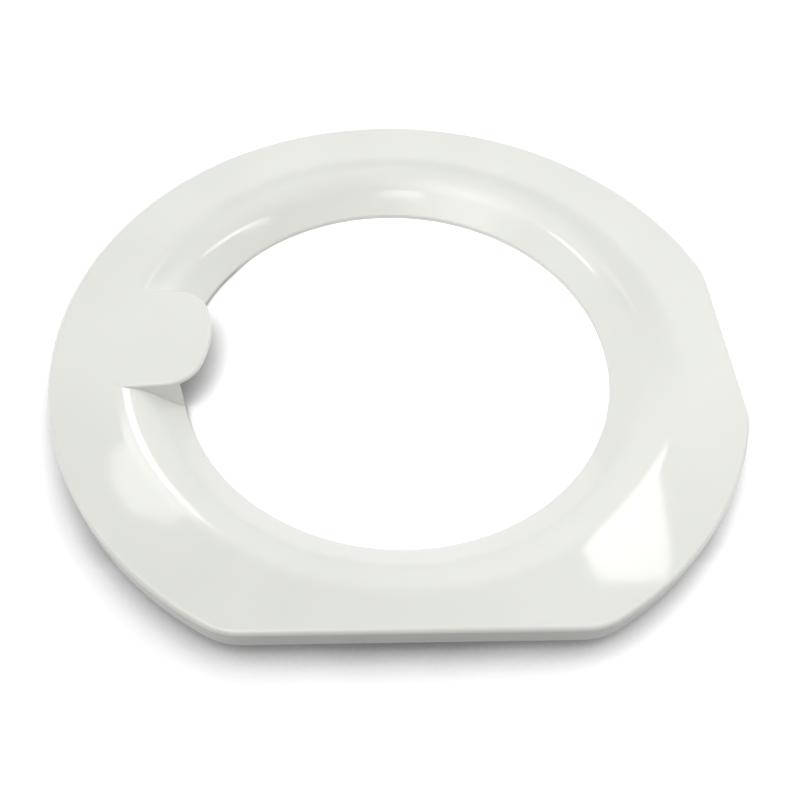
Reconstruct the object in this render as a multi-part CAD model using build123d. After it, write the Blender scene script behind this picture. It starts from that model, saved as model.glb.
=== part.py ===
from build123d import *
import os
from math import cos, radians, sin, sqrt, tan

# Round opening, and the upright lip round it
hole_radius = 141.0
lip_height = 2.76
lip_width = 3.6
lip_round = 2.0

# Section of the ring, from the flat face over the shoulder to the lip
face_height = 13.9
wall = 2.8
shoulder_start = 182.5
slope_angle = 43.0
slope_run = 13.54
back_steps = 3

# Outline seen from above: a circle with two straight flats, the skirt standing on it
outline_radius = 220.5
outline_x = 2.5
outline_y = -3.3
front_flat = 200.2
hinge_flat = 214.0
flat_corner_round = 40.0
edge_round = 3.0

# Handle tab, level with the face, its sides drawing together towards the tip
tab_half_width = 42.4
tab_tip_half_width = 38.6
tab_overhang = 20.5
tab_tip_round = 75.0
tab_corner_round = 24.0
tab_plate = 3.2
tab_edge_round = 2.0
tab_under_round = 0.8

# Finger pocket under the tab, its walls leaning in towards their top
pocket_wall = 2.6
pocket_back = 181.0
pocket_back_round = 4.0
pocket_draft = 5.0

# Screw bosses and stiffening ribs behind the face
boss_count = 6
boss_circle_radius = 190.0
boss_radius = 4.5
pilot_radius = 1.6
pilot_depth = 8.0
rib_thick = 1.8
rib_depth = 5.0

# Room that cutting shapes are given beyond the object
margin = 20.0

# Shoulder that fills what the straight slope leaves between the opening and the face
shoulder_round = (shoulder_start - hole_radius - slope_run) / sin(radians(slope_angle))
shoulder_drop = shoulder_round * (1 - cos(radians(slope_angle)))

# Heights and reach that follow from the sizes above, heights counted from the boss ends
slope_drop = slope_run * tan(radians(slope_angle))
lip_depth = shoulder_drop + slope_drop + lip_height - face_height
face_back = face_height - wall
foot_radius = hole_radius + lip_width
tab_tip = hole_radius - tab_overhang
reach = outline_radius + abs(outline_x) + abs(outline_y) + margin


def shoulder_point(depth, angle):
    """Point on the shoulder, depth under the seen side, the angle counted from its top."""
    a = radians(angle)
    radius = shoulder_round - depth
    return (shoulder_start - radius * sin(a), face_height - shoulder_round + radius * cos(a))


def joined(*points):
    """Straight lines from point to point."""
    return [Line(p, q) for p, q in zip(points, points[1:])]


def shoulder(depth):
    """Shoulder from face to slope: one even curve on the seen side, straight steps behind it."""
    steps = [shoulder_point(depth, slope_angle * k / back_steps) for k in range(back_steps + 1)]
    if depth:
        return joined(*steps)
    a = radians(slope_angle)
    pull = 4 / 3 * tan(a / 4) * shoulder_round
    top, low = steps[0], steps[-1]
    pulls = (top[0] - pull, top[1]), (low[0] + pull * cos(a), low[1] + pull * sin(a))
    return [Bezier(top, *pulls, low)]


def slope_end(depth, end_radius):
    """Point at end_radius on the straight slope, depth under the seen side."""
    start = shoulder_point(depth, slope_angle)
    return (end_radius, start[1] - (start[0] - end_radius) * tan(radians(slope_angle)))


def skin(depth, end_radius):
    """Line of the section depth under the seen side, from the far rim to the foot at end_radius."""
    top = shoulder_point(depth, 0)
    low = shoulder_point(depth, slope_angle)
    end = slope_end(depth, end_radius)
    return joined((reach, top[1]), top) + shoulder(depth) + joined(low, end, (end_radius, -lip_depth))


def turned(section):
    """Solid made by turning a section about the axis of the opening."""
    return revolve(Plane.XZ * section, Axis.Z)


# Outline from above, its four corners rounded
disc = Pos(outline_x, outline_y) * Circle(outline_radius)
kept = Pos(hinge_flat - reach, reach - front_flat) * Rectangle(2 * reach, 2 * reach)
outline = fillet((disc & kept).vertices(), flat_corner_round)
inner_outline = offset(outline, -wall)

# Ring: flat face, shoulder, slope and lip in one wall
foot_line = joined((hole_radius, -lip_depth), (foot_radius, -lip_depth))
rim_line = joined((reach, face_back), (reach, face_height))
section = make_face(skin(0, hole_radius) + foot_line + skin(wall, foot_radius) + rim_line)
lip_corner = section.vertices().sort_by_distance((*slope_end(0, hole_radius), 0))[0]
section = fillet(lip_corner, lip_round)
ring = turned(section) & Pos(0, 0, -lip_depth) * extrude(outline, lip_depth + face_height)

# Skirt, and the rounded edge where it meets the face
frame = ring + extrude(outline - inner_outline, face_height)
rim = frame.faces().sort_by(Axis.Z)[-1].outer_wire().edges()
frame = fillet(rim, edge_round)

# Handle tab: a tongue level with the face, its tip standing out past the lip
tab_root = pocket_back + pocket_wall
tip_centre = -tab_tip - tab_tip_round
tip_side = tip_centre + sqrt(tab_tip_round**2 - tab_tip_half_width**2)
side_a = (tip_side, -tab_tip_half_width)
side_b = (tip_side, tab_tip_half_width)
sides = joined(side_b, (-tab_root, tab_half_width), (-tab_root, -tab_half_width), side_a)
tongue = make_face(sides + [ThreePointArc(side_a, (-tab_tip, 0), side_b)])
tongue = fillet(tongue.vertices().group_by(Axis.X)[-1], tab_corner_round)
tab = Pos(0, 0, face_height - tab_plate) * extrude(tongue, tab_plate)
tab = fillet(tab.edges().group_by(Axis.Z)[-1].sort_by(Axis.X)[1:], tab_edge_round)
tab = fillet(tab.edges().group_by(Axis.Z)[0].sort_by(Axis.X)[1:], tab_under_round)


def drafted(plan, top):
    """Block that has the given plan at its top and widens down to the lip's foot."""
    grown = offset(plan, (top + lip_depth) * tan(radians(pocket_draft)))
    return loft([Pos(0, 0, -lip_depth) * grown, Pos(0, 0, top) * plan], ruled=True)


# Finger pocket: no slope under the tab, but a wall that follows the tab's sides and root
walls_plan = fillet(tongue.vertices().group_by(Axis.X)[0], pocket_back_round + pocket_wall)
pocket = drafted(offset(walls_plan, -pocket_wall), face_height - tab_plate)
walls = drafted(walls_plan, face_height - tab_edge_round) - pocket
over_lip = joined((foot_radius, -lip_depth), (hole_radius, -lip_depth), (hole_radius, face_height))
over_face = joined((hole_radius, face_height), (reach, face_height), (reach, face_back))
above_slope = turned(make_face(skin(wall, foot_radius) + over_lip + over_face))
above_bosses = extrude(Circle(reach) - Circle(hole_radius), face_height)
frame = frame - pocket + (walls & (above_slope + above_bosses)) + tab

# Room behind the face, to the middle of the wall, where bosses and ribs stand
lip_middle = hole_radius + lip_width / 2
wall_middle = wall / 2
under = joined((lip_middle, -lip_depth), (reach, -lip_depth), (reach, face_height - wall_middle))
room = turned(make_face(skin(wall_middle, lip_middle) + under)) & extrude(inner_outline, face_height)

# Screw bosses on one circle, each with a rib that runs from the slope to the skirt
upright = (Align.CENTER, Align.CENTER, Align.MIN)
boss = Cylinder(boss_radius, face_height, align=upright)
pilot = Cylinder(pilot_radius, pilot_depth, align=upright)
rib = Pos(reach / 2, 0, face_back - rib_depth) * Box(reach, rib_thick, rib_depth + wall, align=upright)
first_angle = 180 / boss_count
spots = PolarLocations(boss_circle_radius, boss_count, start_angle=first_angle)
spokes = PolarLocations(0, boss_count, start_angle=first_angle)
for spot, spoke in zip(spots, spokes):
    frame = frame + (spot * boss & room) + (spoke * rib & room) - spot * pilot

os.makedirs("parts", exist_ok=True)
export_step(frame, "parts/outer_door_frame.step")
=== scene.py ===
# %% [markdown]
# # Outer door frame of a washing machine
# The object is one white plastic moulding: a ring with a bowl-shaped inner edge, two straight
# flats on its outline, a skirt all round and a handle tab that reaches over a finger pocket.
# The solid model is loaded first and gives the true size. It could be shown as it is, but its
# facets would break up the sharp reflections of glossy plastic, so a finer mesh is built here.

# %% Load the solid and keep its box
import math

import bmesh
import bpy
import numpy as np
from mathutils import Matrix, Vector


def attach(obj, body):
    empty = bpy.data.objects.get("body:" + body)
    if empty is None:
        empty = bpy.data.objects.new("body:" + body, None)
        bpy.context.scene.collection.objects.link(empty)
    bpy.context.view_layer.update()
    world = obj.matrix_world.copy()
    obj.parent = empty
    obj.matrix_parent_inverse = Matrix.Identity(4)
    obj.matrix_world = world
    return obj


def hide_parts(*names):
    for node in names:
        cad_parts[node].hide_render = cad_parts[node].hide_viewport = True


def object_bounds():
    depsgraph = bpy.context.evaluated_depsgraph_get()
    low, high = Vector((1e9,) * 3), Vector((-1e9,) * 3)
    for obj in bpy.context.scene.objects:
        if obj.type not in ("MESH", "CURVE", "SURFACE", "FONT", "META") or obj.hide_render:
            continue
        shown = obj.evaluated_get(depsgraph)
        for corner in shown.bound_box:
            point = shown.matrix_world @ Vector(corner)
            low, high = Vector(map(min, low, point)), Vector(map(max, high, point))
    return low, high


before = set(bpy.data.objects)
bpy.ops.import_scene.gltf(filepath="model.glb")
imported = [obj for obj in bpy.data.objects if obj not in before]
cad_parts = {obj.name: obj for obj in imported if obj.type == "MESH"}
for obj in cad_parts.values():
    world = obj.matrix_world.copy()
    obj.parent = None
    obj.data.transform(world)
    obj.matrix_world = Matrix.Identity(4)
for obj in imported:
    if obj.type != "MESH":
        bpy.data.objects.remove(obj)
scene = bpy.context.scene
scene.view_settings.view_transform = "Standard"
cad_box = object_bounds()
mm = 0.001
print("solid box in mm:", [[round(v / mm, 1) for v in corner] for corner in cad_box])

# %% [markdown]
# ## The section of the ring
# A cut through the ring runs from the flat face over a round shoulder down a straight slope to
# the lip of the opening. It could be drawn as a curve and spun. Here each point is worked out
# from the lean of the surface, because the shoulder and the lip are arcs with even steps of lean.

# %% Sizes of the section
face_height = 13.9 * mm
wall = 2.8 * mm
hole_radius = 141.0 * mm
lip_height = 2.76 * mm
lip_width = 3.6 * mm
lip_round = 2.0 * mm
shoulder_start = 182.5 * mm
slope_run = 13.54 * mm
slope_lean = 43.0
back_steps = 3
lean = math.radians(slope_lean)
shoulder_round = (shoulder_start - hole_radius - slope_run) / math.sin(lean)
slope_end = face_height - shoulder_round * (1 - math.cos(lean)) - slope_run * math.tan(lean)
lip_depth = lip_height - slope_end
print("shoulder radius in mm:", round(shoulder_round / mm, 2))
print("lip depth in mm:", round(lip_depth / mm, 2))


# %% Points of the section, as radius and height
def leaning_arc(centre, radius, start, end, steps):
    """Points of an arc at which the surface leans inwards from start to end degrees."""
    leans = np.radians(np.linspace(start, end, steps + 1))
    return [(centre[0] - radius * math.sin(a), centre[1] + radius * math.cos(a)) for a in leans]


def shoulder(depth, steps):
    """The shoulder's arc, depth under the seen side, from the flat face to the slope."""
    centre = (shoulder_start, face_height - shoulder_round)
    return leaning_arc(centre, shoulder_round - depth, 0, slope_lean, steps)


def on_slope(depth, radius):
    """Height of the straight slope, depth under the seen side, at a radius."""
    top = shoulder(depth, 1)[-1]
    return top[1] - (top[0] - radius) * math.tan(lean)


lip_centre_radius = hole_radius + lip_round
lip_centre_height = on_slope(0, hole_radius) - lip_round * math.tan((math.pi / 2 - lean) / 2)
lip_arc = leaning_arc((lip_centre_radius, lip_centre_height), lip_round, slope_lean, 90, 10)
foot_radius = hole_radius + lip_width
seen_points = shoulder(0, 40) + lip_arc + [(hole_radius, -lip_depth)]
back_points = [(foot_radius, -lip_depth), (foot_radius, on_slope(wall, foot_radius))]
back_points += shoulder(wall, back_steps)[::-1]
print("section points, seen and hidden side:", len(seen_points), len(back_points))

# %% [markdown]
# ## The outline seen from above
# The outer edge is a circle, a little off the opening's axis, cut by two straight flats whose
# ends are rounded. For the mesh it is asked for as a distance from the axis in any direction,
# so that every column of faces can run straight out from the opening to the edge.

# %% Sizes of the outline
outline_radius = 220.5 * mm
outline_centre = Vector((2.5, -3.3)) * mm
flat_corner_round = 40.0 * mm
flats = [(Vector((1, 0)), 214.0 * mm), (Vector((0, -1)), 200.2 * mm)]
edge_round = 3.0 * mm
print("circle of", outline_radius / mm, "mm radius with", len(flats), "flats")


# %% Distance of the outline from the axis
def far_hit(direction, centre, radius):
    """Distance along a ray from the axis to the far side of a circle."""
    along = direction.dot(centre)
    return along + math.sqrt(max(radius**2 - centre.length_squared + along**2, 0.0))


def flat_corners():
    """Centre of each rounding at a flat's end, with the normals where it starts and stops."""
    corners = []
    for normal, distance in flats:
        run = Vector((-normal.y, normal.x))
        depth = distance - flat_corner_round - normal.dot(outline_centre)
        half = math.sqrt((outline_radius - flat_corner_round) ** 2 - depth**2)
        for side in (-half, half):
            centre = outline_centre + normal * depth + run * side
            corners.append((centre, normal, (centre - outline_centre).normalized()))
    return corners


def outline_at(angle, inset):
    """Distance from the axis to the outline, moved inwards by inset."""
    ray = Vector((math.cos(angle), math.sin(angle)))
    for centre, first, last in flat_corners():
        distance = far_hit(ray, centre, flat_corner_round - inset)
        outwards = ray * distance - centre
        turn = first.cross(last)
        if turn * first.cross(outwards) > 0 and turn * outwards.cross(last) > 0:
            return distance
    reach = far_hit(ray, outline_centre, outline_radius - inset)
    for normal, distance in flats:
        if ray.dot(normal) > 0:
            reach = min(reach, (distance - inset) / ray.dot(normal))
    return reach


columns = 480
angles = np.linspace(0, 2 * math.pi, columns, endpoint=False)
print("outline from the axis, shortest and longest in mm:",
      round(min(outline_at(a, 0) for a in angles) / mm, 1),
      round(max(outline_at(a, 0) for a in angles) / mm, 1))

# %% [markdown]
# ## The ring as one closed grid
# Rows of the grid follow the section, columns go round the opening. The last row joins the
# first and the last column joins the first, so the mesh is closed without any caps. A spun
# curve and a bevel could do the same, but the bevel would have to guess at the rim's corners.


# %% Rows of the ring
def turned(points):
    """Rows of equal radius, one for each point of a section."""
    return [(np.full(columns, radius), height) for radius, height in points]


def edged(points):
    """Rows that follow the outline, one for each inset and height."""
    return [(np.array([outline_at(a, inset) for a in angles]), height) for inset, height in points]


def spread(rows, longest):
    """Adds rows between rows that lie further apart than longest."""
    result = []
    for (r0, z0), (r1, z1) in zip(rows, rows[1:] + rows[:1]):
        gap = max(float(np.abs(r1 - r0).max()), abs(z1 - z0))
        steps = max(1, math.ceil(gap / longest))
        result += [(r0 + (r1 - r0) * k / steps, z0 + (z1 - z0) * k / steps) for k in range(steps)]
    return result


def closed_grid(name, rows):
    """Mesh object from rows that go round the axis and close on themselves."""
    points = [
        (r[i] * math.cos(a), r[i] * math.sin(a), z) for r, z in rows for i, a in enumerate(angles)
    ]
    faces = []
    for j in range(len(rows)):
        k = (j + 1) % len(rows)
        for i in range(columns):
            n = (i + 1) % columns
            faces.append((j * columns + i, k * columns + i, k * columns + n, j * columns + n))
    return solid(name, points, faces)


def solid(name, points, faces):
    """Closed mesh object with its faces turned outwards."""
    mesh = bpy.data.meshes.new(name)
    mesh.from_pydata(points, [], faces)
    work = bmesh.new()
    work.from_mesh(mesh)
    bmesh.ops.recalc_face_normals(work, faces=work.faces)
    work.to_mesh(mesh)
    work.free()
    thing = bpy.data.objects.new(name, mesh)
    scene.collection.objects.link(thing)
    return thing


face_back = face_height - wall
rim_steps = 10
rim = []
for a in np.radians(np.linspace(0, 90, rim_steps + 1)):
    rim.append((edge_round * (1 - math.cos(a)), face_height - edge_round * (1 - math.sin(a))))
skirt = [(wall, face_back), (wall, 0.0), (0.0, 0.0)] + rim
longest_row = 7.0 * mm
ring_rows = spread(turned(seen_points + back_points) + edged(skirt), longest_row)
door_frame = closed_grid("door_frame", ring_rows)
print("ring:", len(ring_rows), "rows,", len(door_frame.data.polygons), "faces")

# %% [markdown]
# ## The handle tab and the finger pocket
# The tab is a tongue level with the face. Its sides draw together towards a rounded tip, and its
# edge is rounded above and, more finely, below. Under it the slope is missing: a wall that follows
# the tab's sides and root shuts the finger pocket off from the back of the frame, leaning a
# little so that the part comes out of its mould. Each is a simple closed shape made of stacked
# outlines, because one function can then give the outline at any inset. Booleans join them.

# %% Sizes of the tab and the pocket
tab_half_width = 42.4 * mm
tab_tip_half_width = 38.6 * mm
tab_overhang = 20.5 * mm
tab_tip_round = 75.0 * mm
tab_corner_round = 24.0 * mm
tab_plate = 3.2 * mm
tab_edge_round = 2.0 * mm
tab_under_round = 0.8 * mm
pocket_wall = 2.6 * mm
pocket_back = 181.0 * mm
pocket_back_round = 4.0 * mm
pocket_draft = math.radians(5.0)
tab_tip = hole_radius - tab_overhang
print("tab: tip", round(tab_tip / mm, 1), "mm from the axis")


# %% Shapes with stacked outlines
def arc_points(centre, radius, start, end, steps):
    """Points of an arc seen from above, between two angles in degrees."""
    turns = np.radians(np.linspace(start, end, steps + 1))
    return [(centre[0] + radius * math.cos(a), centre[1] + radius * math.sin(a)) for a in turns]


def stack(name, loops):
    """Closed mesh from outlines with equal numbers of points, each with its height."""
    count = len(loops[0][0])
    points = [(x, y, z) for outline, z in loops for x, y in outline]
    faces = [tuple(range(count)), tuple(range((len(loops) - 1) * count, len(loops) * count))]
    for j in range(len(loops) - 1):
        for i in range(count):
            n = (i + 1) % count
            faces.append((j * count + i, j * count + n, (j + 1) * count + n, (j + 1) * count + i))
    return solid(name, points, faces)


# %% The tab's outline from above
tab_root = -(pocket_back + pocket_wall)
tip_centre = -(tab_tip + tab_tip_round)
tip_side = tip_centre + math.sqrt(tab_tip_round**2 - tab_tip_half_width**2)
drawn_in = math.atan2(tab_half_width - tab_tip_half_width, tip_side - tab_root)


def side_at(x, inset):
    """Half the tab's width at x, its sides moved inwards by inset."""
    return tab_half_width - (x - tab_root) * math.tan(drawn_in) - inset / math.cos(drawn_in)


fall = math.tan(drawn_in)
start = side_at(tip_centre, tab_corner_round)
square = (start**2 - (tab_tip_round - tab_corner_round) ** 2) / (1 + fall**2)
along = start * fall / (1 + fall**2)
along += math.sqrt(along**2 - square)
corner_x = tip_centre + along
corner_y = start - fall * along
tip_turn = math.degrees(math.atan2(corner_y, along))
side_turn = 90 - math.degrees(drawn_in)


def tongue(inset, root_round):
    """Outline of the tab moved inwards by inset, its root corners sharp or rounded."""
    corner = tab_corner_round - inset
    points = arc_points((corner_x, -corner_y), corner, -side_turn, -tip_turn, 16)
    points += arc_points((tip_centre, 0.0), tab_tip_round - inset, -tip_turn, tip_turn, 40)[1:-1]
    points += arc_points((corner_x, corner_y), corner, tip_turn, side_turn, 16)
    if not root_round:
        side = side_at(tab_root, inset)
        return points + [(tab_root, side), (tab_root, -side)]
    x = tab_root + root_round
    y = side_at(x, root_round)
    points += arc_points((x, y), root_round - inset, side_turn, 180, 8)
    return points + arc_points((x, -y), root_round - inset, 180, 360 - side_turn, 8)


print("tab: corners centred at", round(corner_x / mm, 1), round(corner_y / mm, 1), "mm")

# %% The tab
tab_bottom = face_height - tab_plate
under_steps = 6
over_steps = 10
tab_loops = []
for a in np.radians(np.linspace(0, 90, under_steps + 1)):
    height = tab_bottom + tab_under_round * (1 - math.cos(a))
    tab_loops.append((tongue(tab_under_round * (1 - math.sin(a)), 0), height))
for a in np.radians(np.linspace(0, 90, over_steps + 1)):
    height = face_height - tab_edge_round * (1 - math.sin(a))
    tab_loops.append((tongue(tab_edge_round * (1 - math.cos(a)), 0), height))
tab = stack("tab", tab_loops)
print("tab:", len(tab.data.polygons), "faces, lowest at", round(tab_bottom / mm, 1), "mm")


# %% The walls of the pocket and the room inside it
def leaning_stack(name, inset, top, low, high):
    """Block with the tab's outline, inset at the height top, that widens downwards."""
    root_round = pocket_back_round + pocket_wall
    loops = []
    for z in (low, high):
        loops.append((tongue(inset - (top - z) * math.tan(pocket_draft), root_round), z))
    return stack(name, loops)


half_wall = wall / 2
buried = 0.7 * mm
hair = 0.02 * mm
slope_top = shoulder(half_wall, 1)[-1]
slope_at_zero = slope_top[0] - slope_top[1] / math.tan(lean)
block_top = face_height - tab_edge_round
block_points = [
    (hole_radius + hair, -lip_depth + buried),
    (lip_centre_radius, -lip_depth + buried),
    (foot_radius, on_slope(half_wall, foot_radius)),
    (slope_at_zero, 0.0),
    (outline_radius, 0.0),
    (outline_radius, block_top),
    (hole_radius + hair, block_top),
]
pocket_block = closed_grid("pocket_block", turned(block_points))
block_plan = leaning_stack("block_plan", 0.0, block_top, -2 * lip_depth, 2 * block_top)
pocket_room = leaning_stack("pocket_room", pocket_wall, tab_bottom, -2 * lip_depth, tab_bottom)
print("pocket: walls", pocket_wall / mm, "mm thick, room up to", round(tab_bottom / mm, 1), "mm")


# %% Join them with booleans
def plain_mesh(thing):
    """Gives the object its evaluated mesh and takes its modifiers off."""
    bpy.context.view_layer.update()
    evaluated = thing.evaluated_get(bpy.context.evaluated_depsgraph_get())
    mesh = bpy.data.meshes.new_from_object(evaluated)
    thing.modifiers.clear()
    thing.data = mesh
    mesh.name = thing.name


def combine(thing, operation, tool):
    """Joins, cuts or keeps what two closed meshes share, and drops the tool."""
    modifier = thing.modifiers.new(operation.lower(), "BOOLEAN")
    modifier.operation = operation
    modifier.solver = "EXACT"
    modifier.object = tool
    plain_mesh(thing)
    bpy.data.objects.remove(tool)
    print(thing.name, operation.lower(), "->", len(thing.data.polygons), "faces")


combine(pocket_block, "INTERSECT", block_plan)
combine(door_frame, "UNION", pocket_block)
combine(door_frame, "UNION", tab)
combine(door_frame, "DIFFERENCE", pocket_room)

# %% [markdown]
# ## Screw bosses and ribs on the back
# Screws from the inner frame bite into round bosses behind the face, each stiffened by a rib
# that runs from the slope to the skirt. They repeat evenly round the opening, so Geometry
# Nodes place them: one tree takes the sizes as inputs, sets a boss, a pilot hole and a long bar
# at every point of a circle, trims the bars to the room behind the face and drills the holes.

# %% Sizes of the bosses
boss_count = 6
boss_circle_radius = 190.0 * mm
boss_radius = 4.5 * mm
pilot_radius = 1.6 * mm
pilot_depth = 8.0 * mm
rib_thick = 1.8 * mm
rib_depth = 5.0 * mm
boss_height = face_height - half_wall
room_edge = [(half_wall, slope_top[1]), (half_wall, boss_height)]
room_rows = turned(shoulder(half_wall, back_steps)) + edged(room_edge)
rib_room = closed_grid("rib_room", room_rows)
print("bosses:", boss_count, "on a circle of", round(2 * boss_circle_radius / mm), "mm")


# %% The tree for the bosses
def boss_tree():
    """Bosses with pilot holes and ribs, at even steps round the opening."""
    tree = bpy.data.node_groups.new("screw_bosses", "GeometryNodeTree")
    kinds = {"Count": "Int", "Rib Room": "Object", "Plastic": "Material"}
    sizes = ["Circle Radius", "Boss Radius", "Boss Height", "Pilot Radius", "Pilot Depth"]
    sizes += ["Rib Thickness", "Rib Bottom", "Bar Length"]
    kinds.update({name: "Float" for name in sizes})
    tree.interface.new_socket(name="Geometry", in_out="OUTPUT", socket_type="NodeSocketGeometry")
    for name, kind in kinds.items():
        tree.interface.new_socket(name=name, in_out="INPUT", socket_type="NodeSocket" + kind)
    given = tree.nodes.new("NodeGroupInput").outputs

    def add(kind, links=None, **settings):
        node = tree.nodes.new(kind)
        for key, value in settings.items():
            setattr(node, key, value)
        for socket, source in (links or {}).items():
            if isinstance(source, bpy.types.NodeSocket):
                tree.links.new(source, node.inputs[socket])
            else:
                node.inputs[socket].default_value = source
        return node

    def math_node(operation, first, second):
        return add("ShaderNodeMath", {0: first, 1: second}, operation=operation).outputs[0]

    def lifted(shape, height):
        offset = add("ShaderNodeCombineXYZ", {"Z": height}).outputs[0]
        return add("GeometryNodeTransform", {"Geometry": shape, "Translation": offset}).outputs[0]

    def placed(shape, **links):
        sets = add("GeometryNodeInstanceOnPoints", {"Points": spots, "Instance": shape, **links})
        return add("GeometryNodeRealizeInstances", {"Geometry": sets.outputs[0]}).outputs[0]

    def rod(radius, depth):
        shape = add("GeometryNodeMeshCylinder", {"Vertices": 48, "Radius": radius, "Depth": depth})
        return shape.outputs["Mesh"]

    def boolean(operation, first, second):
        node = add("GeometryNodeMeshBoolean", operation=operation, solver="EXACT")
        tree.links.new(first, node.inputs["Mesh 1" if operation == "DIFFERENCE" else "Mesh 2"])
        tree.links.new(second, node.inputs["Mesh 2"])
        return node.outputs["Mesh"]

    circle = add(
        "GeometryNodeMeshCircle", {"Vertices": given["Count"], "Radius": given["Circle Radius"]}
    )
    half_step = add("ShaderNodeCombineXYZ", {"Z": math_node("DIVIDE", math.pi, given["Count"])})
    spots = add(
        "GeometryNodeTransform", {"Geometry": circle.outputs[0], "Rotation": half_step.outputs[0]}
    ).outputs[0]
    half_height = math_node("MULTIPLY", given["Boss Height"], 0.5)
    bosses = placed(lifted(rod(given["Boss Radius"], given["Boss Height"]), half_height))
    pilots = placed(rod(given["Pilot Radius"], math_node("MULTIPLY", given["Pilot Depth"], 2.0)))
    bar_size = add(
        "ShaderNodeCombineXYZ",
        {"X": given["Bar Length"], "Y": given["Rib Thickness"], "Z": given["Bar Length"]},
    )
    bar = add("GeometryNodeMeshCube", {"Size": bar_size.outputs[0]}).outputs["Mesh"]
    half_bar = math_node("MULTIPLY", given["Bar Length"], 0.5)
    bar_lift = math_node("ADD", given["Rib Bottom"], half_bar)
    position = add("GeometryNodeInputPosition").outputs[0]
    outwards = add("FunctionNodeAlignRotationToVector", {"Vector": position})
    bars = placed(lifted(bar, bar_lift), Rotation=outwards.outputs[0])
    room = add("GeometryNodeObjectInfo", {"Object": given["Rib Room"]}).outputs["Geometry"]
    ribs = boolean("INTERSECT", bars, room)
    drilled = boolean("DIFFERENCE", boolean("UNION", bosses, ribs), pilots)
    whole = add("GeometryNodeRealizeInstances", {"Geometry": drilled}).outputs[0]
    painted = add("GeometryNodeSetMaterial", {"Geometry": whole, "Material": given["Plastic"]})
    out = tree.nodes.new("NodeGroupOutput")
    tree.links.new(painted.outputs[0], out.inputs["Geometry"])
    return tree


# %% [markdown]
# ## White plastic
# The moulding is glossy off-white plastic with a faint warm green tinge. A flat colour would
# look like paint on a screen, so slow noise shifts the tone and the gloss a little, as flow in
# the mould does, and a very shallow wave bends the reflections as on any moulded face.

# %% The plastic
white_plastic = bpy.data.materials.new("white_plastic")
white_plastic.use_nodes = True
nodes = white_plastic.node_tree.nodes
links = white_plastic.node_tree.links
shader = nodes["Principled BSDF"]
shader.inputs["IOR"].default_value = 1.5
place = nodes.new("ShaderNodeTexCoord").outputs["Object"]


def noise(scale, detail):
    """Noise on the object's own coordinates."""
    node = nodes.new("ShaderNodeTexNoise")
    node.inputs["Scale"].default_value = scale
    node.inputs["Detail"].default_value = detail
    links.new(place, node.inputs["Vector"])
    return node.outputs["Fac"]


tone = nodes.new("ShaderNodeValToRGB")
tone.color_ramp.elements[0].position = 0.3
tone.color_ramp.elements[0].color = (0.69, 0.70, 0.66, 1)
tone.color_ramp.elements[1].position = 0.7
tone.color_ramp.elements[1].color = (0.715, 0.725, 0.685, 1)
links.new(noise(14.0, 2.0), tone.inputs["Fac"])
links.new(tone.outputs["Color"], shader.inputs["Base Color"])
gloss = nodes.new("ShaderNodeMapRange")
gloss.inputs["To Min"].default_value = 0.05
gloss.inputs["To Max"].default_value = 0.1
links.new(noise(30.0, 3.0), gloss.inputs["Value"])
links.new(gloss.outputs["Result"], shader.inputs["Roughness"])
wave = nodes.new("ShaderNodeBump")
wave.inputs["Strength"].default_value = 0.05
wave.inputs["Distance"].default_value = 0.2 * mm
links.new(noise(60.0, 1.0), wave.inputs["Height"])
links.new(wave.outputs["Normal"], shader.inputs["Normal"])
print("plastic nodes:", len(nodes))

# %% [markdown]
# ## The bosses in place
# The tree is put on an empty mesh as a modifier, and its inputs are set by their identifiers,
# because their names alone don't reach the modifier. Joined with a boolean, the bosses become
# one closed body with the frame, as they are in the mould.

# %% Place the bosses and join them to the frame
bosses = bpy.data.objects.new("bosses", bpy.data.meshes.new("bosses"))
scene.collection.objects.link(bosses)
modifier = bosses.modifiers.new("bosses", "NODES")
modifier.node_group = boss_tree()
sockets = {item.name: item.identifier for item in modifier.node_group.interface.items_tree}
values = {
    "Count": boss_count,
    "Circle Radius": boss_circle_radius,
    "Boss Radius": boss_radius,
    "Boss Height": boss_height,
    "Pilot Radius": pilot_radius,
    "Pilot Depth": pilot_depth,
    "Rib Thickness": rib_thick,
    "Rib Bottom": face_back - rib_depth,
    "Bar Length": outline_radius / 2,
    "Rib Room": rib_room,
    "Plastic": white_plastic,
}
for name, value in values.items():
    modifier[sockets[name]] = value
plain_mesh(bosses)
bpy.data.objects.remove(rib_room)
print("bosses and ribs:", len(bosses.data.polygons), "faces")
combine(door_frame, "UNION", bosses)

# %% [markdown]
# ## Smooth shading
# Gloss shows every change of normal. Edges sharper than a third of a right angle stay sharp,
# and the weighted normals let the large flat faces keep their own normal, so that the roundings
# beside them start exactly level with the face.

# %% Normals and material of the finished frame
sharp_edge = math.radians(30)
mesh = door_frame.data
mesh.materials.clear()
mesh.materials.append(white_plastic)
mesh.polygons.foreach_set("use_smooth", [True] * len(mesh.polygons))
mesh.polygons.foreach_set("material_index", [0] * len(mesh.polygons))
mesh.set_sharp_from_angle(angle=sharp_edge)
weighted = door_frame.modifiers.new("weighted", "WEIGHTED_NORMAL")
weighted.keep_sharp = True
plain_mesh(door_frame)
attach(door_frame, "root")
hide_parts("outer_door_frame")
mesh = door_frame.data
mesh.calc_loop_triangles()
check = bmesh.new()
check.from_mesh(mesh)
open_edges = sum(1 for edge in check.edges if not edge.is_manifold)
print("frame:", len(mesh.loop_triangles), "triangles,", open_edges, "open edges, volume in cm3:",
      round(check.calc_volume() * 1e6, 1))
check.free()
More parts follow.
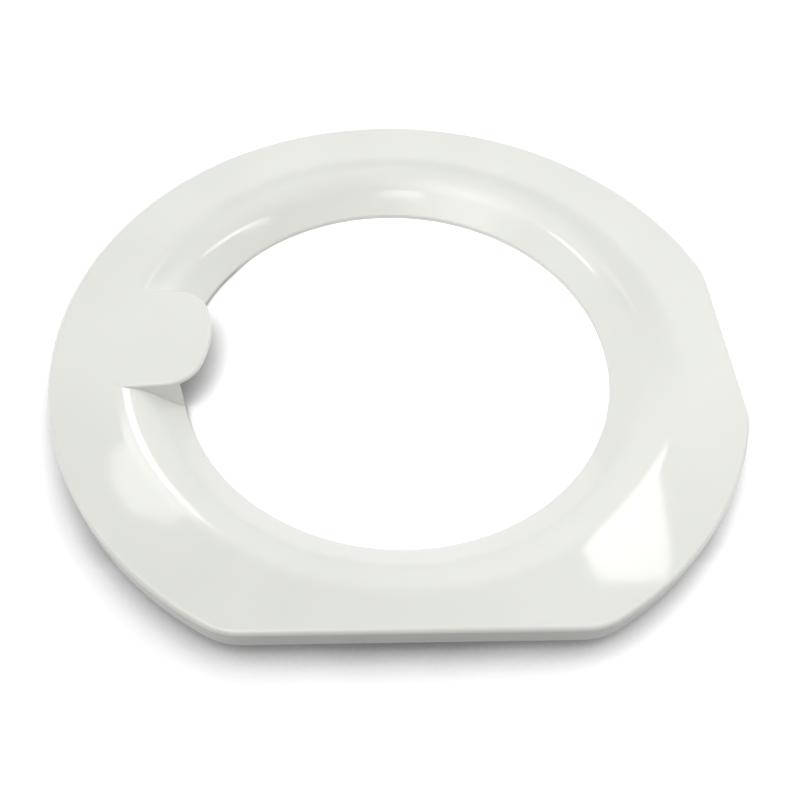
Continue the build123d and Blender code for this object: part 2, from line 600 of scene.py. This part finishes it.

# %% [markdown]
# ## Floor
# The object lies on white paper under a soft studio light. The floor could be made white by more
# light, but the plastic would then burn out. So the paper is pale, takes its shadows from the
# light and from painted shade near the object, and glows a little for the camera and for
# reflections only.

# %% Floor
floor_level = cad_box[0][2]
floor_size = 20.0
bpy.ops.mesh.primitive_plane_add(size=floor_size, location=(0, 0, floor_level))
floor = bpy.context.object
floor.name = "floor"
white = bpy.data.materials.new("floor_white")
white.use_nodes = True
floor.data.materials.append(white)
nodes, links = white.node_tree.nodes, white.node_tree.links
paper = nodes["Principled BSDF"]
paper.inputs["Roughness"].default_value = 1.0
paper.inputs["Specular IOR Level"].default_value = 0.0
paper.inputs["Emission Color"].default_value = (1, 1, 1, 1)
print("floor at", round(floor_level / mm, 2), "mm")


# %% Two helpers for the nodes at hand
def seen():
    """One for rays from the camera, also by way of gloss or glass, and nought for others."""
    path = nodes.new("ShaderNodeLightPath").outputs
    result = path["Is Camera Ray"]
    for other in ("Is Glossy Ray", "Is Transmission Ray"):
        either = nodes.new("ShaderNodeMath")
        either.operation = "MAXIMUM"
        links.new(result, either.inputs[0])
        links.new(path[other], either.inputs[1])
        result = either.outputs[0]
    return result


def ramp(value, start, end, low, high):
    """Map Range node: value from start to end gives low to high."""
    node = nodes.new("ShaderNodeMapRange")
    for socket, given in zip(node.inputs, (value, start, end, low, high)):
        if isinstance(given, bpy.types.NodeSocket):
            links.new(given, socket)
        else:
            socket.default_value = given
    return node.outputs["Result"]


# %% [markdown]
# ## The shade round the foot
# Light from all round leaves only a faint shadow, but on paper a thing has a dark seam where it
# comes close. That seam is painted shade: ambient occlusion finds how much of the way ahead is
# shut off within a short reach, and the paper's colour is darkened by it. Its normal leans away
# from the camera, so the painted shade shows at the front and on the left, under the skirt. In
# the opening, where the paper stays white, it is kept to the tab's side.

# %% Contact shade
shade_reach = 45.0 * mm
shade_lean = Vector((0.14, 0.58, 0.75)).normalized()
darkest = 0.05
leaning = nodes.new("ShaderNodeCombineXYZ")
for socket, part in zip(leaning.inputs, shade_lean):
    socket.default_value = part
near = nodes.new("ShaderNodeAmbientOcclusion")
near.inputs["Distance"].default_value = shade_reach
links.new(leaning.outputs[0], near.inputs["Normal"])
# Painted shade: the occlusion darkens the paper's colour, down to the darkest tone.
shade = ramp(near.outputs["AO"], 0.44, 0.84, darkest, 1.0)
spot = nodes.new("ShaderNodeTexCoord").outputs["Object"]
place = nodes.new("ShaderNodeSeparateXYZ")
links.new(spot, place.inputs[0])
radius = nodes.new("ShaderNodeVectorMath")
radius.operation = "LENGTH"
links.new(spot, radius.inputs[0])
by_tab = ramp(place.outputs["X"], -115.0 * mm, -100.0 * mm, shade, 1.0)
contact = ramp(radius.outputs["Value"], hole_radius, foot_radius, by_tab, shade)
print("contact shade within", shade_reach / mm, "mm")

# %% [markdown]
# ## What the floor throws back
# White paper lights the skirt from below. A photographer lays a dark card in front of a white
# object to give its edge a darker line. No card is here: the paper's colour is painted dark in
# front, but only for the light that bounces, so the skirt's front gets painted shade. The camera
# sees the paper white, apart from the painted contact shade.

# %% Tone of the paper
floor_tone = 0.8
painted_front_shade = 0.08
floor_lift = 0.16
# Painted shade: the paper's bounce colour falls to a dark tone in front of the ring.
bounce = ramp(place.outputs["Y"], -260.0 * mm, -140.0 * mm, painted_front_shade, floor_tone)
thrown = ramp(contact, 0.0, 1.0, 0.0, bounce)
links.new(ramp(seen(), 0.0, 1.0, thrown, contact), paper.inputs["Base Color"])
links.new(ramp(seen(), 0.0, 1.0, 0.0, floor_lift), paper.inputs["Emission Strength"])
print("floor nodes:", len(nodes))

# %% [markdown]
# ## The big soft light
# Most of the light comes from a large diffuser overhead and in front, while the far wall of the
# studio is darker the higher it gets. That far wall is what the flat face mirrors, so it sets
# how grey the face looks. Large lamps could do this, but a world whose strength changes with
# direction has no edges that would show in the gloss. Near the horizon the camera and all
# reflections see plain white, so that views from other sides have a white background too.

# %% World
world = bpy.data.worlds.new("studio")
scene.world = world
world.use_nodes = True
nodes, links = world.node_tree.nodes, world.node_tree.links
direction = nodes.new("ShaderNodeSeparateXYZ")
links.new(nodes.new("ShaderNodeTexCoord").outputs["Generated"], direction.inputs[0])
x, y, z = direction.outputs
left_side, right_side = 1.65, 0.7
left_top, right_top = 1.95, 0.73
wall_left, wall_right, wall_top = 0.0, 1.7, 0.03
side = ramp(x, -1.0, 1.0, left_side, right_side)
low_front = ramp(y, -0.9, 0.05, 0.0, side)
front = ramp(z, 0.6, 0.77, low_front, ramp(x, -1.0, 1.0, left_top, right_top))
low_behind = ramp(x, -0.6, 0.5, wall_left, wall_right)
behind = ramp(z, 0.7, 0.82, low_behind, wall_top)
around = ramp(y, 0.18, 0.4, front, behind)
horizon = ramp(seen(), 0.0, 1.0, around, 1.0)
sky = nodes["Background"]
sky.inputs["Color"].default_value = (1, 1, 1, 1)
links.new(ramp(z, 0.5, 0.65, horizon, around), sky.inputs["Strength"])
print("world nodes:", len(nodes))

# %% [markdown]
# ## Lamps
# One large soft lamp in front, aimed over the ring, makes its far right brighter than its front.
# The sharp bright shapes on the plastic are mirror images of small lamps: each stands where the
# surface mirrors it to the camera. They could be painted on, but paint wouldn't move with the
# view. A mask in the lamp's own nodes gives it the outline that the highlight needs, and a
# narrow spread keeps its light to that part of the ring, as a honeycomb grid does in a studio.


# %% A lamp that faces a target
def area_lamp(name, target, azimuth, elevation, distance, width, height, spread, brightness):
    """Area lamp of a given radiance on its axis, fading out at the spread angle."""
    a, e, half = math.radians(azimuth), math.radians(elevation), math.radians(spread)
    out = Vector((math.cos(a) * math.cos(e), math.sin(a) * math.cos(e), math.sin(e)))
    left = Vector((0, 0, 1)).cross(out).normalized()
    axes = Matrix((left, out.cross(left), out)).transposed().to_4x4()
    data = bpy.data.lights.new(name, "AREA")
    data.shape = "RECTANGLE"
    data.size, data.size_y = width, height
    data.spread = 2 * half
    narrowed = 1 - half / math.tan(half)
    data.energy = brightness * width * height * math.pi * narrowed
    lamp = bpy.data.objects.new(name, data)
    scene.collection.objects.link(lamp)
    lamp.matrix_world = Matrix.Translation(Vector(target) * mm + out * distance) @ axes
    print(name, "lamp:", round(data.energy, 3), "W")
    return data


area_lamp("soft_far", (110, 150, 14), -130, 62, 0.95, 0.9, 0.9, 24, 3.8)


# %% A lamp with a mask
small_lamp_distance = 0.6


def masked_lamp(name, target, azimuth, elevation, spread, brightness, corners):
    """Small lamp with the given corners, in mm to the left of its middle and above it."""
    size = 2 * max(abs(v) for corner in corners for v in corner) * mm
    data = area_lamp(
        name, target, azimuth, elevation, small_lamp_distance, size, size, spread, brightness
    )
    data.use_nodes = True
    nodes, links = data.node_tree.nodes, data.node_tree.links
    spot = nodes.new("ShaderNodeNewGeometry").outputs["Parametric"]
    middle = Vector((0.5, 0.5, 0))
    mask = None
    for (u0, v0), (u1, v1) in zip(corners, corners[1:] + corners[:1]):
        inwards = Vector((v0 - v1, u1 - u0, 0)).normalized()
        corner = Vector((u0, v0, 0)) * mm / size + middle
        depth = nodes.new("ShaderNodeVectorMath")
        depth.operation = "DOT_PRODUCT"
        links.new(spot, depth.inputs[0])
        depth.inputs[1].default_value = inwards
        inside = nodes.new("ShaderNodeMath")
        inside.operation = "GREATER_THAN"
        links.new(depth.outputs["Value"], inside.inputs[0])
        inside.inputs[1].default_value = inwards.dot(corner)
        if mask:
            both = nodes.new("ShaderNodeMath")
            both.operation = "MULTIPLY"
            links.new(mask, both.inputs[0])
            links.new(inside.outputs[0], both.inputs[1])
            mask = both.outputs[0]
        else:
            mask = inside.outputs[0]
    links.new(mask, nodes["Emission"].inputs["Strength"])


# %% The small lamps
near_right = [(-20, 90), (-97, 61), (-86, 27), (-44, -50), (24, -94)]
near_right += [(143, -95), (145, -77), (91, -15)]
pale_patch = [(-119, -32), (-134, -82), (-90, -84), (15, -48), (101, -4)]
pale_patch += [(108, 33), (89, 74), (45, 94)]
near_left = [(-45, -50), (52, 17), (-10, 41), (-21, 21)]
far_left = [(112, -24), (132, 27), (-104, 24), (-114, 13), (-54, -21), (27, -39)]
far_centre = [(-62, 12), (-62, -6), (60, -8), (60, 2)]
far_right = [(75, 27), (37, 74), (-75, -33), (-54, -86)]
masked_lamp("near_right", (130, -139, 14), 64, 56, 20, 7.0, near_right)
masked_lamp("pale_patch", (-148, -108, 14), 102, 53, 34, 3.6, pale_patch)
masked_lamp("near_left", (-144, -90, 13), 85, 44, 14, 8.0, near_left)
masked_lamp("far_left", (-112, 105, 4), -6, 43, 24, 7.0, far_left)
masked_lamp("far_centre", (7, 153, 2), -91, 54, 14, 6.0, far_centre)
masked_lamp("far_right", (127, 89, 4), 176, 45, 20, 7.0, far_right)

# %% [markdown]
# ## Camera
# The camera looks down at the ring from the front, a little from the left and slightly rolled, as
# the photographer held it. It could be set by hand, but then lens and distance are easily mixed
# up. Here it is placed by its aim, distance and angles, which were fitted to the round opening.

# %% Camera
aim = Vector((-0.88, -50.42, 13.9)) * mm
distance = 550.0 * mm
azimuth, elevation, roll = (math.radians(v) for v in (-4.52, 53.0, 3.47))
flat_part = math.cos(elevation)
back = Vector(
    (math.sin(azimuth) * flat_part, -math.cos(azimuth) * flat_part, math.sin(elevation))
)
level = Vector((0, 0, 1)).cross(back).normalized()
rise = back.cross(level)
right = math.cos(roll) * level + math.sin(roll) * rise
up = back.cross(right)
turn = Matrix((right, up, back)).transposed().to_4x4()
lens = bpy.data.cameras.new("camera")
lens.sensor_width = 36.0
lens.lens = 40.5
lens.shift_y = -0.0025
camera = bpy.data.objects.new("camera", lens)
scene.collection.objects.link(camera)
camera.matrix_world = Matrix.Translation(aim + back * distance) @ turn
scene.camera = camera
print("camera at", [round(v / mm) for v in camera.matrix_world.translation], "mm")
